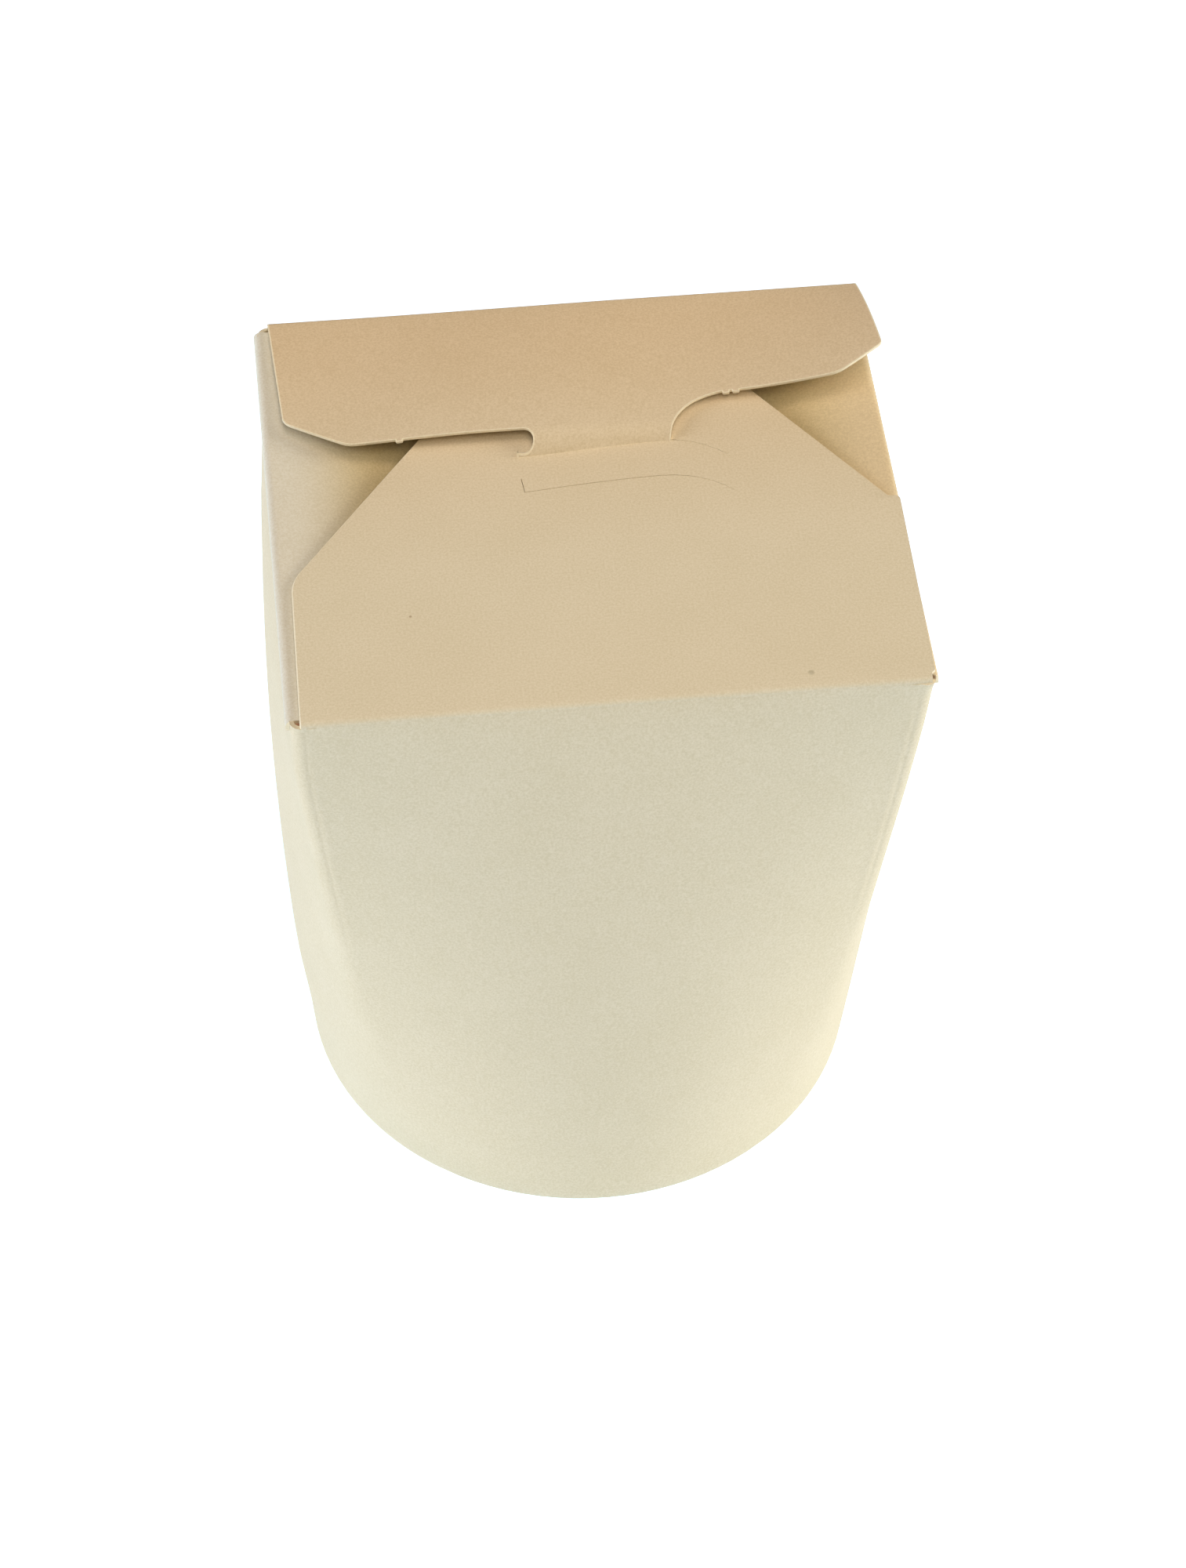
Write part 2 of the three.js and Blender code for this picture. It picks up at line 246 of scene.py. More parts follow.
# %% [markdown]
# ## Specks of dirt and a painted pit shade
# The real lid has two specks of dirt, and the pit at its front right corner is
# dark; that pit's darkness is painted shade. They have no thickness, so they
# aren't modelled: each is a dot of another colour, mixed in by the distance
# from its middle.

# %% Specks of dirt and painted pit shade on the board
# Middle, radius, strength and colour of each mark; the first two are dirt, the last is painted
# shade in the dark pit
DIRT_SPECKS_AND_PIT_SHADE = (((28.26, -38.47, HEIGHT), 0.5, 0.45, "#9C9679"),
          ((-27.46, -22.06, HEIGHT), 0.25, 0.5, "#96774F"),
          ((45.45, -40.35, HEIGHT - 0.9), 0.55, 0.9, "#6E5138"))
MARK_RIM = 1.2
MARK_CORE = 0.5


def mix_dirt_and_pit_shade(tree, place, colour):
    """Mixes the dirt specks and the painted shade of the pit into a colour."""
    for middle, radius, strength, hex_value in DIRT_SPECKS_AND_PIT_SHADE:
        away = add(tree, "ShaderNodeVectorMath",
                   {0: place, 1: Vector(middle) * MM}, operation="DISTANCE")
        share = add(tree, "ShaderNodeMapRange",
                    {"Value": away.outputs["Value"], "From Min": radius * MARK_RIM * MM,
                     "From Max": radius * MARK_CORE * MM, "To Max": strength})
        colour = mixed(tree, share.outputs[0], colour, linear(hex_value))
    return colour


print("specks:", len(DIRT_SPECKS_AND_PIT_SHADE))

# %% [markdown]
# ## One shader for every board
# All boards of the box share one recipe and differ in their creams, so one
# function makes them. A flap can also be painted darker along X or Y: painted
# shade where it tilts away from the lamps or lies in under another flap. The
# tooth that a finger feels is a faint bump, too fine to be worth vertices.

# %% Card shader
def uncoated_card(name, pale, deep, tooth=0.25, painted_shade_end=None):
    """Cream board; the last argument is (pale, deep, axis, from, to) of an end painted darker as
    shade, in mm.
    """
    material = bpy.data.materials.new(name)
    material.use_nodes = True
    tree = material.node_tree
    shader = tree.nodes["Principled BSDF"]
    shader.inputs["Roughness"].default_value = CARD_ROUGHNESS
    shader.inputs["Specular IOR Level"].default_value = CARD_SHINE
    place = add(tree, "ShaderNodeTexCoord").outputs["Object"]
    share = fibre_share(tree, place)
    colour = mixed(tree, share, linear(pale), linear(deep))
    # Painted shade: one end of the board is mixed towards darker creams along an axis
    if painted_shade_end:
        shade_pale, shade_deep, axis, start, end = painted_shade_end
        shaded_colour = mixed(tree, share, linear(shade_pale), linear(shade_deep))
        along = add(tree, "ShaderNodeSeparateXYZ", {0: place}).outputs[axis]
        towards = add(tree, "ShaderNodeMapRange",
                      {"Value": along, "From Min": start * MM, "From Max": end * MM},
                      interpolation_type="SMOOTHSTEP")
        colour = mixed(tree, towards.outputs[0], colour, shaded_colour)
    tree.links.new(mix_dirt_and_pit_shade(tree, place, colour), shader.inputs["Base Color"])
    bump = add(tree, "ShaderNodeBump",
               {"Height": noise(tree, place, TOOTH_SIZE, 4.0, 0.65), "Strength": tooth,
                "Distance": TOOTH_DEPTH})
    tree.links.new(bump.outputs["Normal"], shader.inputs["Normal"])
    print("material:", name)
    return material


# %% [markdown]
# ## Six boards
# The walls are cream and the lid looks tanner under the warm lamp overhead; the
# lid is painted browner towards the back as painted shade. The side flaps are
# painted as lit and shaded copies of the same board: the left one greyer, the
# right one yellower, and both darker towards their middles as painted shade
# under the back flap. Freshly cut edges are pale, and the plugs in the pits at
# the corners are reddish brown: painted shade for the dark holes.

# %% The boards
card = uncoated_card("uncoated cream board", "#EAE0C8", "#DED3B6")
# Painted shade: the lid darkens and browns towards the back, where the back flap tilts away from
# the light in front
lid_card_painted_shade = uncoated_card("uncoated cream board of the lid", "#EBE3CD", "#DFD6BB",
                         painted_shade_end=("#E8D4B4", "#DBC5A1", "Y", -20, 40))
# Painted light: the left flap is greyer, as only the neutral light from the left reaches it;
# painted shade darkens it towards its middle, under the back flap
left_card_painted_light_and_shade = uncoated_card("cream board of the left flap, painted light and shade", "#ECEADE", "#E1DDCC",
                          painted_shade_end=("#DDCCA1", "#CDBC8F", "X", -44, -29))
# Painted light: the right flap is yellower, as only the warm light from the right reaches it;
# painted shade darkens it towards its middle, under the back flap
right_card_painted_light_and_shade = uncoated_card("cream board of the right flap, painted light and shade", "#EAD8B4", "#DDCAA5",
                           painted_shade_end=("#DFCDA1", "#D0BE92", "X", 45, 33))
cut_edge = uncoated_card("cut edge of board", "#F9F1DA", "#F3E8CC", tooth=0.1)
# Painted shade: a reddish-brown board that fills the dark pits at the corners
pit_shade_card = uncoated_card("board painted as shade in a corner pit", "#C79A7C", "#B5896C", tooth=0.4)

# %% [markdown]
# ## The four walls
# The walls are one sheet wrapped into a tube. It could be lofted from a few
# sections, but a flat grid whose columns are bent along the arcs keeps the
# columns where the creases are. The columns crowd round each corner, because a
# creased board shows a pressed groove with a raised lip beside it there.

# %% Columns and levels of the wall
# Distances from the middle of a corner, positive towards the front or back wall
CORNER_OFFSETS = (-8, -6, -4, -2.8, -2, -1.4, -0.8, -0.3, 0.2, 0.7, 1.1, 1.35, 1.55, 1.7, 1.85,
                  2.05, 2.25, 2.5, 2.75, 3.1, 3.6, 4.4, 6, 8, 11.99, 12.02)
FAR_FROM_CORNER = -100.0
WALL_COLUMNS = 9
WALL_LEVELS = 64


def quarter_stations(t):
    """(distance, offset from the corner) of each column, from the side's middle on."""
    (side, _), (corner, _), (front, _) = outline_arcs(t)
    middle = side + corner / 2
    first = middle + CORNER_OFFSETS[0]
    last = middle + CORNER_OFFSETS[-1]
    rest = side + corner + front - last
    stations = [(first * k / WALL_COLUMNS, FAR_FROM_CORNER + k) for k in range(WALL_COLUMNS)]
    stations += [(middle + offset, offset) for offset in CORNER_OFFSETS]
    for k in range(1, WALL_COLUMNS + 1):
        past = rest * k / WALL_COLUMNS
        stations.append((last + past, CORNER_OFFSETS[-1] + past))
    return stations


quarter_columns = len(quarter_stations(0.5)) - 1
print("wall columns:", 4 * quarter_columns, "levels:", WALL_LEVELS)

# %% [markdown]
# ## Creases, lap and bulge
# A crease is a pressed line: the wheel that presses it pushes a groove into the
# board and squeezes up a lip beside it. It is clearest near the lid and dies
# away at mid-height, where the wall is already bent round the corner. The glued
# lap is a step on the back wall, the left wall bulges a little, and a small ear
# of board sticks out at the front right corner. They are pushed into the shape
# and not left to a bump, because they change the outline.

# %% Relief of the walls
CREASE_GROOVE = 0.05
CREASE_LIP = 0.06
CREASE_FADE = (54.0, 66.0)
LAP_STEP = 0.30
LAP_AT = 12.0
EAR = 0.45
LEFT_BELLY = 0.6


def swell(offset, middle, width):
    """A soft swelling, 1 at its middle."""
    return math.exp(-((offset - middle) / width) ** 2)


def crease_relief(offset, z):
    groove = CREASE_GROOVE * swell(offset, 1.7, 0.3)
    lip = CREASE_LIP * swell(offset, 2.6, 0.6)
    return smooth_step(z, *CREASE_FADE) * (lip - groove)


def lap_relief(offset, z):
    if offset < LAP_AT:
        return 0.0
    held = smooth_step(z, 0.5, 4) * (1 - smooth_step(z, HEIGHT - 5, HEIGHT - 1.5))
    return LAP_STEP * held * (1 - smooth_step(offset, LAP_AT + 1, LAP_AT + 18))


def ear_relief(offset, z):
    return EAR * swell(offset, 0.4, 1.3) * smooth_step(z, HEIGHT - 3.2, HEIGHT - 1.2)


def left_belly(y, z):
    """How far the left wall is pushed out."""
    upright = smooth_step(z, 6, 25) * (1 - smooth_step(z, HEIGHT - 14, HEIGHT - 1))
    return LEFT_BELLY * upright * smooth_step(-y, -38, -15)


print("bulge of the left wall at its middle:", round(left_belly(0, HEIGHT / 2), 2), "mm")

# %% [markdown]
# ## Where a point of the wall goes
# Each column of the grid is a line up the wall and each level is a ring, so a
# column and a level are enough to place a point. The walls end below the lid by
# the radius of the fold that a flap turns over, and the side walls end lower
# still, because their flaps go down first. The right wall is drawn in a little
# near the lid.

# %% Point of the wall
FOLD_RADIUS = 0.85
SIDE_FOLD_RADIUS = 0.55
SIDE_FOLD_DROP = 1.35
FRONT_WALL_TOP = HEIGHT - FOLD_RADIUS
SIDE_WALL_TOP = HEIGHT - SIDE_FOLD_DROP - SIDE_FOLD_RADIUS
RIGHT_PULL = 0.1


def wall_point(column, level):
    quarter, index = divmod(column, quarter_columns)
    if quarter == 4:
        quarter, index = 3, quarter_columns
    if quarter % 2:
        index = quarter_columns - index
    sign_x = 1 if quarter in (0, 3) else -1
    sign_y = 1 if quarter in (0, 1) else -1
    t = level / WALL_LEVELS
    distance, offset = quarter_stations(t)[index]
    top = SIDE_WALL_TOP + (FRONT_WALL_TOP - SIDE_WALL_TOP) * smooth_step(offset, -2.8, -1.4)
    z = t * top
    point, outward = outline_point(distance, t)
    relief = crease_relief(offset, z)
    if quarter == 0:
        relief += lap_relief(offset, z)
    if quarter == 3:
        relief += ear_relief(offset, z)
    point += outward * relief
    across = sign_x * point.x
    if sign_x < 0:
        across -= left_belly(sign_y * point.y, z) * smooth_step(point.x, 20, 42)
    else:
        near_lid = smooth_step(z, HEIGHT - 12, HEIGHT - 3)
        across -= RIGHT_PULL * near_lid * smooth_step(point.x, 30, 45)
    return Vector((across, sign_y * point.y, z))


print("front wall ends at", FRONT_WALL_TOP, "mm, side walls at", round(SIDE_WALL_TOP, 2), "mm")

# %% [markdown]
# ## Wrapping the grid
# The grid's first and last columns land on the same line, so merging doubles
# closes the tube. Solidify then thickens it inwards, which keeps the outer size,
# and a small bevel rounds the cut edge that the box stands on.

# %% Wrap the grid into the tube
MERGE = 0.002
FOOT_ROUND = 0.4
FOOT_EDGE_REACH = BASE_RADIUS - 0.15

walls = bmesh.new()
bmesh.ops.create_grid(walls, x_segments=4 * quarter_columns, y_segments=WALL_LEVELS, size=1)
for vert in walls.verts:
    column = round((vert.co.x + 1) / 2 * 4 * quarter_columns)
    level = round((vert.co.y + 1) / 2 * WALL_LEVELS)
    vert.co = wall_point(column, level)
bmesh.ops.remove_doubles(walls, verts=walls.verts, dist=MERGE)
bmesh.ops.recalc_face_normals(walls, faces=walls.faces)
rightmost = max(walls.faces, key=lambda face: face.calc_center_median().x)
if rightmost.normal.x < 0:
    bmesh.ops.reverse_faces(walls, faces=walls.faces)
bmesh.ops.solidify(walls, geom=list(walls.faces), thickness=BOARD)
foot_edges = [edge for edge in walls.edges
              if all(v.co.z < 0.01 and v.co.xy.length > FOOT_EDGE_REACH for v in edge.verts)]
bmesh.ops.bevel(walls, geom=foot_edges, offset=FOOT_ROUND, segments=3, profile=0.5,
                affect="EDGES", material=-1)
print("edges rounded at the foot:", len(foot_edges))

# %% [markdown]
# ## Pits at the corners
# Where three folds meet, the board leaves a small dark pit. A round plug of
# browner board fills each pit: its colour is painted shade for the hole. A cone
# with two equal radii makes a plug in one call.

# %% Fill the pits, finish the walls
PIT_LEVEL = HEIGHT - 1.7
PIT_RADIUS = 0.9
PITS = ((-44.7, -40.1), (44.3, -40.1), (-44.7, 40.1), (44.3, 40.1))

for pit_x, pit_y in PITS:
    plug = bmesh.ops.create_cone(walls, cap_ends=True, segments=16, radius1=PIT_RADIUS,
                                 radius2=PIT_RADIUS, depth=BOARD,
                                 matrix=Matrix.Translation((pit_x, pit_y, PIT_LEVEL)))
    # Painted shade: the plug takes the dark brown board of the pit's shade
    for vert in plug["verts"]:
        for face in vert.link_faces:
            face.material_index = 1
finish_piece(walls, "walls", [card, pit_shade_card])

# %% [markdown]
# ## The base
# The foot of the tube is rolled in and up round a base disc that sits 7 mm
# inside, so the box stands on a narrow ring. It is the same all the way round,
# so half of its section is drawn and spun, as on a lathe.

# %% Spin the base and its rim
RIM_INNER = BASE_RADIUS - 1.8
RIM_OUTER = BASE_RADIUS - 0.04
RIM_ROLL = 0.45
RIM_STEP = 0.4
ROLL_TOP = 6.0
DISC_LEVEL = 7.0
SPIN_STEPS = 120

base_profile = [
    (0, DISC_LEVEL), (RIM_INNER, DISC_LEVEL), (RIM_INNER + RIM_STEP, DISC_LEVEL - RIM_STEP),
    (RIM_INNER + RIM_STEP, ROLL_TOP), (RIM_INNER, ROLL_TOP), (RIM_INNER, RIM_ROLL),
    (RIM_INNER + RIM_ROLL, 0), (BASE_RADIUS - RIM_ROLL - 0.04, 0), (RIM_OUTER, RIM_ROLL),
    (BASE_RADIUS - 0.2, DISC_LEVEL + BOARD), (0, DISC_LEVEL + BOARD),
]
base = bmesh.new()
corners = [base.verts.new((radius, 0, z)) for radius, z in base_profile]
for first, second in zip(corners, corners[1:]):
    base.edges.new((first, second))
bmesh.ops.spin(base, geom=base.verts[:] + base.edges[:], cent=(0, 0, 0), axis=(0, 0, 1),
               angle=2 * math.pi, steps=SPIN_STEPS, use_merge=True)
bmesh.ops.remove_doubles(base, verts=base.verts, dist=0.001)
bmesh.ops.recalc_face_normals(base, faces=base.faces)
rolls = [edge for edge in base.edges
         if max(v.co.z for v in edge.verts) < RIM_ROLL + 0.01 and edge.calc_face_angle(0) > 0.6]
bmesh.ops.bevel(base, geom=rolls, offset=0.2, segments=2, profile=0.5, affect="EDGES",
                material=-1)
finish_piece(base, "base", [card])

# %% [markdown]
# ## How a flap turns over its fold
# A creased board doesn't bend at a line: it rolls over a small radius. So a flap
# is drawn flat, with v measured from its fold, then laid on a curve that comes
# up the wall, rolls over, and runs on. This keeps the flap's true length.

# %% Roll of a fold
SURFACE_GAP = 0.02
ROLL_SLICES = 8
TUCK = 0.7


def rolled(v, half_run, turn):
    """(inward, up) from the outer wall at the start of the roll, after a run v from its middle."""
    radius = 2 * half_run / turn
    if v < -half_run:
        return 0.0, v + half_run
    angle = min(turn, (v + half_run) / radius)
    inward = radius * (1 - math.cos(angle))
    up = radius * math.sin(angle)
    past = max(0.0, v - half_run)
    return inward + past * math.sin(turn), up + past * math.cos(turn)


def roll_lines(half_run):
    """Where a flap is sliced so that it can roll over its fold."""
    return [-half_run + 2 * half_run * k / ROLL_SLICES for k in range(ROLL_SLICES + 1)]


print("a fold is sliced at", ROLL_SLICES + 1, "lines")

# %% [markdown]
# ## Die-cutting a flap
# A cutting die presses the rim of the board down as it cuts, so a pale line runs
# round each flap. The plate is one face whose corners are rounded by a bevel. A
# negative inset grows a rim round it, and the rim's outer edge is lowered.

# %% Cut a plate
CRUSH = 0.2
CRUSH_DROP = 0.25


def cut_plate(outline, rounded=()):
    """A flat board whose rim is pressed down; rounded is (corner, run, segments) for each."""
    bm = bmesh.new()
    verts = [bm.verts.new((u, v, 0)) for u, v in outline]
    bm.faces.new(verts)
    for index, run, segments in rounded:
        bmesh.ops.bevel(bm, geom=[verts[index]], offset=run, segments=segments, profile=0.5,
                        affect="VERTICES", material=-1)
    rim = bmesh.ops.inset_region(bm, faces=bm.faces[:], thickness=-CRUSH, use_boundary=True,
                                 use_even_offset=True)["faces"]
    outline_edges = [edge for edge in bm.edges if edge.is_boundary]
    bmesh.ops.delete(bm, geom=[face for face in bm.faces if face not in rim],
                     context="FACES_ONLY")
    for face in rim:
        face.material_index = 1
    for face in bmesh.ops.contextual_create(bm, geom=outline_edges)["faces"]:
        face.material_index = 0
    for vert in bm.verts:
        if vert.is_boundary:
            vert.co.z = -CRUSH_DROP
    return bm


print("rim", CRUSH, "mm wide, pressed", CRUSH_DROP, "mm down")

# %% [markdown]
# ## Thickness, slices and bending
# The flat plate is extruded down by the board's thickness, then sliced, because
# a mesh only bends where it has vertices. Last, each vertex moves to its place
# on the bent surface. A Simple Deform modifier bends one way only, while these
# flaps roll, bow and dive.

# %% Thicken, slice and bend
SIDE_NORMAL_LIMIT = 0.5
SLOPE_STEP = 0.05


def thicken_and_slice(bm, u_lines, v_lines):
    bmesh.ops.recalc_face_normals(bm, faces=bm.faces)
    for face in bm.faces:
        if face.normal.z < 0:
            face.normal_flip()
    pushed = bmesh.ops.extrude_face_region(bm, geom=bm.faces[:])
    for item in pushed["geom"]:
        if isinstance(item, bmesh.types.BMVert):
            item.co.z = -BOARD
    bmesh.ops.recalc_face_normals(bm, faces=bm.faces)
    for face in bm.faces:
        if abs(face.normal.z) < SIDE_NORMAL_LIMIT:
            face.material_index = 1
    for axis, lines in ((0, u_lines), (1, v_lines)):
        normal = Vector((1, 0, 0)) if axis == 0 else Vector((0, 1, 0))
        for line in lines:
            bmesh.ops.bisect_plane(bm, geom=bm.verts[:] + bm.edges[:] + bm.faces[:],
                                   dist=1e-4, plane_co=normal * line, plane_no=normal)


def lay_on(bm, surface):
    """Moves each vertex (u, v, w) to the surface at u, v, and w along its normal."""
    for vert in bm.verts:
        u, v, w = vert.co
        across = surface(u + SLOPE_STEP, v) - surface(u - SLOPE_STEP, v)
        along = surface(u, v + SLOPE_STEP) - surface(u, v - SLOPE_STEP)
        vert.co = surface(u, v) + across.cross(along).normalized() * w
    bmesh.ops.recalc_face_normals(bm, faces=bm.faces)


def spread(low, high, step):
    """Evenly spaced lines from low to high, about a step apart."""
    count = max(1, round((high - low) / step))
    return [low + (high - low) * k / count for k in range(count + 1)]


print("every board is", BOARD, "mm thick")

# %% [markdown]
# ## The side flaps
# They go down first, and nothing holds them up. Each leaves its fold nearly
# flat, bends down under its own weight and then hangs straight; the right one
# sags more. They hinge lower than the front flap, which lies on top of them.

# %% Side flaps
SIDE_SAG = math.radians(4)
SAG_GROWTH = {-1: 0.011, 1: 0.018}
SAG_FROM = 4.0
SAG_TO = 16.0
SIDE_ROLL = SIDE_FOLD_RADIUS * (math.pi / 2 + SIDE_SAG) / 2
SIDE_END_FRONT = 39.9
SIDE_END_BACK = 40.6
SIDE_REACH = 38.0
SIDE_TAPER_V = 8


def side_surface(sign):
    def place(u, v):
        inward, up = rolled(v, SIDE_ROLL, math.pi / 2 + SIDE_SAG)
        bent = min(max(0.0, v - SAG_FROM), SAG_TO - SAG_FROM)
        up -= SAG_GROWTH[sign] * bent * (bent / 2 + max(0.0, v - SAG_TO))
        pull = RIGHT_PULL if sign > 0 else 0.0
        return Vector((sign * (HALF_WIDTH - SURFACE_GAP - pull - inward), -sign * u,
                       SIDE_WALL_TOP + up))

    return place


for side_name, sign, board in (("left", -1, left_card_painted_light_and_shade), ("right", 1, right_card_painted_light_and_shade)):
    low_end = -SIDE_END_FRONT if sign < 0 else -SIDE_END_BACK
    high_end = SIDE_END_BACK if sign < 0 else SIDE_END_FRONT
    flap = cut_plate([(low_end, -SIDE_ROLL - TUCK), (high_end, -SIDE_ROLL - TUCK),
                      (high_end - 0.5, SIDE_TAPER_V), (high_end - 7, SIDE_REACH),
                      (low_end + 7, SIDE_REACH), (low_end + 0.5, SIDE_TAPER_V)])
    thicken_and_slice(flap, spread(-38, 38, 4),
                      roll_lines(SIDE_ROLL) + spread(3, SIDE_REACH - 2, 4))
    lay_on(flap, side_surface(sign))
    finish_piece(flap, f"side_flap_{side_name}", [board, cut_edge])

# %% [markdown]
# ## The two slits
# Two slits are cut across the front flap, one 7.5 mm before the other. Each
# starts in a short foot at the left, rises to a crest and tails off to the
# right. A quadratic curve on either side of the crest is all that they need. The
# upper slit stands open in the middle, where the tongue passes through it.

# %% Lines of the slits
FRONT_ROLL = FOLD_RADIUS * math.pi / 4
FRONT_FOLD_TO_Y = HALF_DEPTH - (2 * FRONT_ROLL / (math.pi / 2) - FRONT_ROLL)
SLIT_LEFT = Vector((-8.7, 8.8))
SLIT_CREST = Vector((12.0, 10.4))
SLIT_RIGHT = Vector((22.2, 6.4))
SLIT_LEAD_X = 4
SLIT_TAIL_X = 18
SLIT_SPACING = 7.5
SLIT_TICK = 3.0
SLIT_GAP = 0.11
HOOK_TICK = 1.3
TONGUE_PASSAGE = 1.4


def between(first, handle, second, share):
    """Point on the quadratic curve that a handle pulls."""
    return first.lerp(handle, share).lerp(handle.lerp(second, share), share)


def slit_line(lower):
    """Points along the slit, from its left foot over the crest to the tail."""
    down = Vector((0, lower))
    start, crest, end = SLIT_LEFT - down, SLIT_CREST - down, SLIT_RIGHT - down
    lead_handle = Vector((SLIT_LEAD_X, crest.y - 0.1))
    tail_handle = Vector((SLIT_TAIL_X, crest.y))
    lead = [between(start, lead_handle, crest, k / 10) for k in range(11)]
    tail = [between(crest, tail_handle, end, k / 6) for k in range(1, 7)]
    return lead + tail


def slit_loop(lower, passage, tick):
    """Closed outline of one slit: front edge, then back along the other edge and the foot."""
    front = slit_line(lower)
    back = []
    for point in reversed(front):
        opened = smooth_step(point.x, -8.2, -6.5) * (1 - smooth_step(point.x, 12.5, 14))
        back.append(point + Vector((0.0, SLIT_GAP + passage * opened)))
    foot_top = front[0] + Vector((-0.3, tick))
    foot = [back.pop() + Vector((SLIT_GAP * 0.6, 0)), foot_top + Vector((SLIT_GAP, 0)), foot_top]
    return front + back + foot


print("slits", round(SLIT_RIGHT.x - SLIT_LEFT.x, 1), "mm wide and", SLIT_SPACING, "mm apart")

# %% [markdown]
# ## The front flap
# It lies flat on the side flaps. A slit is a real cut through the board, so the
# flap is filled from its outer edge and the edges of the slits, which leaves
# them open. A Boolean would do the same more slowly.

# %% Front flap with its slits
PLAIN_EDGE_FROM_X = 45.1


def front_surface(u, v):
    inward, up = rolled(v, FRONT_ROLL, math.pi / 2)
    return Vector((u, -HALF_DEPTH + SURFACE_GAP + inward, FRONT_WALL_TOP + up))


front_edge = [(-44.4, -FRONT_ROLL - TUCK), (45.1, -FRONT_ROLL - TUCK), (45.1, 1.2), (45.7, 1.8),
              (46.1, -4.8 + FRONT_FOLD_TO_Y), (44.5, -4.4 + FRONT_FOLD_TO_Y),
              (25.8, 22 + FRONT_FOLD_TO_Y), (-17.2, 22 + FRONT_FOLD_TO_Y),
              (-43.9, -13.5 + FRONT_FOLD_TO_Y)]
front_flap = cut_plate(front_edge, rounded=[(8, 2.0, 5), (4, 0.4, 2)])
# The right edge was hardly pressed: it stays level, and shows no pale line
for face in front_flap.faces:
    if face.calc_center_median().x > PLAIN_EDGE_FROM_X:
        face.material_index = 0
for vert in front_flap.verts:
    if vert.co.x > PLAIN_EDGE_FROM_X + CRUSH / 2:
        vert.co.z = 0
plain_face = max(front_flap.faces, key=lambda face: face.calc_area())
fill_edges = list(plain_face.edges)
bmesh.ops.delete(front_flap, geom=[plain_face], context="FACES_ONLY")
for loop in (slit_loop(0, TONGUE_PASSAGE, HOOK_TICK), slit_loop(SLIT_SPACING, 0, SLIT_TICK)):
    verts = [front_flap.verts.new((p.x, p.y + FRONT_FOLD_TO_Y, 0)) for p in loop]
    fill_edges += [front_flap.edges.new(pair) for pair in zip(verts, verts[1:] + verts[:1])]
bmesh.ops.triangle_fill(front_flap, use_beauty=True, edges=fill_edges)
print("front flap filled with", len(front_flap.faces), "faces")
thicken_and_slice(front_flap, spread(-40, 40, 8), roll_lines(FRONT_ROLL) + spread(4, 60, 8))
lay_on(front_flap, front_surface)
finish_piece(front_flap, "front_flap", [lid_card_painted_shade, cut_edge])

# %% [markdown]
# ## How the back flap springs up
# The last flap comes over the others. Its tongue is held in the slit, and the
# board springs back, so the flap bows up from its fold: a little left of the
# tongue, and more towards the right corner. Right of the tongue the flap is
# shorter. A few formulas give its height, so that each part of the bow can be
# matched to the real one by itself.

# %% Shape of the lifted flap
FREE_V = 28.7
RIGHT_FREE_V = 22.65
FOLD_Y = 41.4
NECK = Vector((13.8, 31.0))
SHOULDER = Vector((22.6, RIGHT_FREE_V))
LIFT_LEFT = 0.65
LIFT_MIDDLE = 1.85
LIFT_SHOULDER = 0.8
RISE_FROM = 19.0
RISE = 0.0135
RISE_POWER = 1.7
TONGUE_SINK = 0.75
TONGUE_GAP = 0.12
DIVE_POWER = 2.6
DIVE_END = 1.25
FOLD_DROP = 0.4


def lift_at_edge(u):
    left = LIFT_MIDDLE + (LIFT_LEFT - LIFT_MIDDLE) * smooth_step(-u, 13, 41)
    rise = RISE * max(0.0, u - RISE_FROM) ** RISE_POWER
    return left + (LIFT_SHOULDER - left) * smooth_step(u, -6, 17) + rise


def free_edge(u):
    """Run from the fold to the free edge, shorter right of the tongue."""
    return FREE_V + (RIGHT_FREE_V - FREE_V) * smooth_step(u, NECK.x, SHOULDER.x)


def slit_reach(u):
    """Run from the fold to the upper slit."""
    tail = max(0.0, u - SLIT_CREST.x)
    lead = min(0.0, u - SLIT_CREST.x)
    return FOLD_Y - SLIT_CREST.y - 0.077 * lead + 0.04 * tail * tail


def back_surface(u, v):
    edge = lift_at_edge(u)
    free = free_edge(u)
    slope = math.atan(2 * edge / free)
    inward, up = rolled(min(v, FRONT_ROLL), FRONT_ROLL, math.pi / 2 - slope)
    y = HALF_DEPTH - SURFACE_GAP - inward
    z = FRONT_WALL_TOP + up
    if v > FRONT_ROLL:
        start = FRONT_ROLL / free
        q = min(1.0, v / free)
        bowed = edge * (2 * q - q * q) - edge * (2 * start - start * start)
        shortening = edge * edge * (2 / 3) / free * (1 - (1 - q) ** 3)
        dive = max(0.0, v - FREE_V) / (slit_reach(u) - TONGUE_GAP - FREE_V)
        z += bowed - (edge + TONGUE_SINK) * min(DIVE_END, dive) ** DIVE_POWER - (z - HEIGHT) * q
        y -= v - FRONT_ROLL - shortening
    z -= FOLD_DROP * smooth_step(-u, -20, 30) * (1 - min(1.0, max(0.0, v) / free))
    return Vector((u, y, z))


print("the flap springs up", [round(lift_at_edge(u), 2) for u in (-40, -10, 20, 45)], "mm")

# %% [markdown]
# ## Cutting the back flap
# The outline has a notch and a hook at the left of the tongue, a long curved
# shoulder at its right, cut-off corners, and tiny nicks where the flap was held
# in its sheet until the waste was torn off. It is walked once round, and the
# notch and the corners are rounded afterwards by bevels.

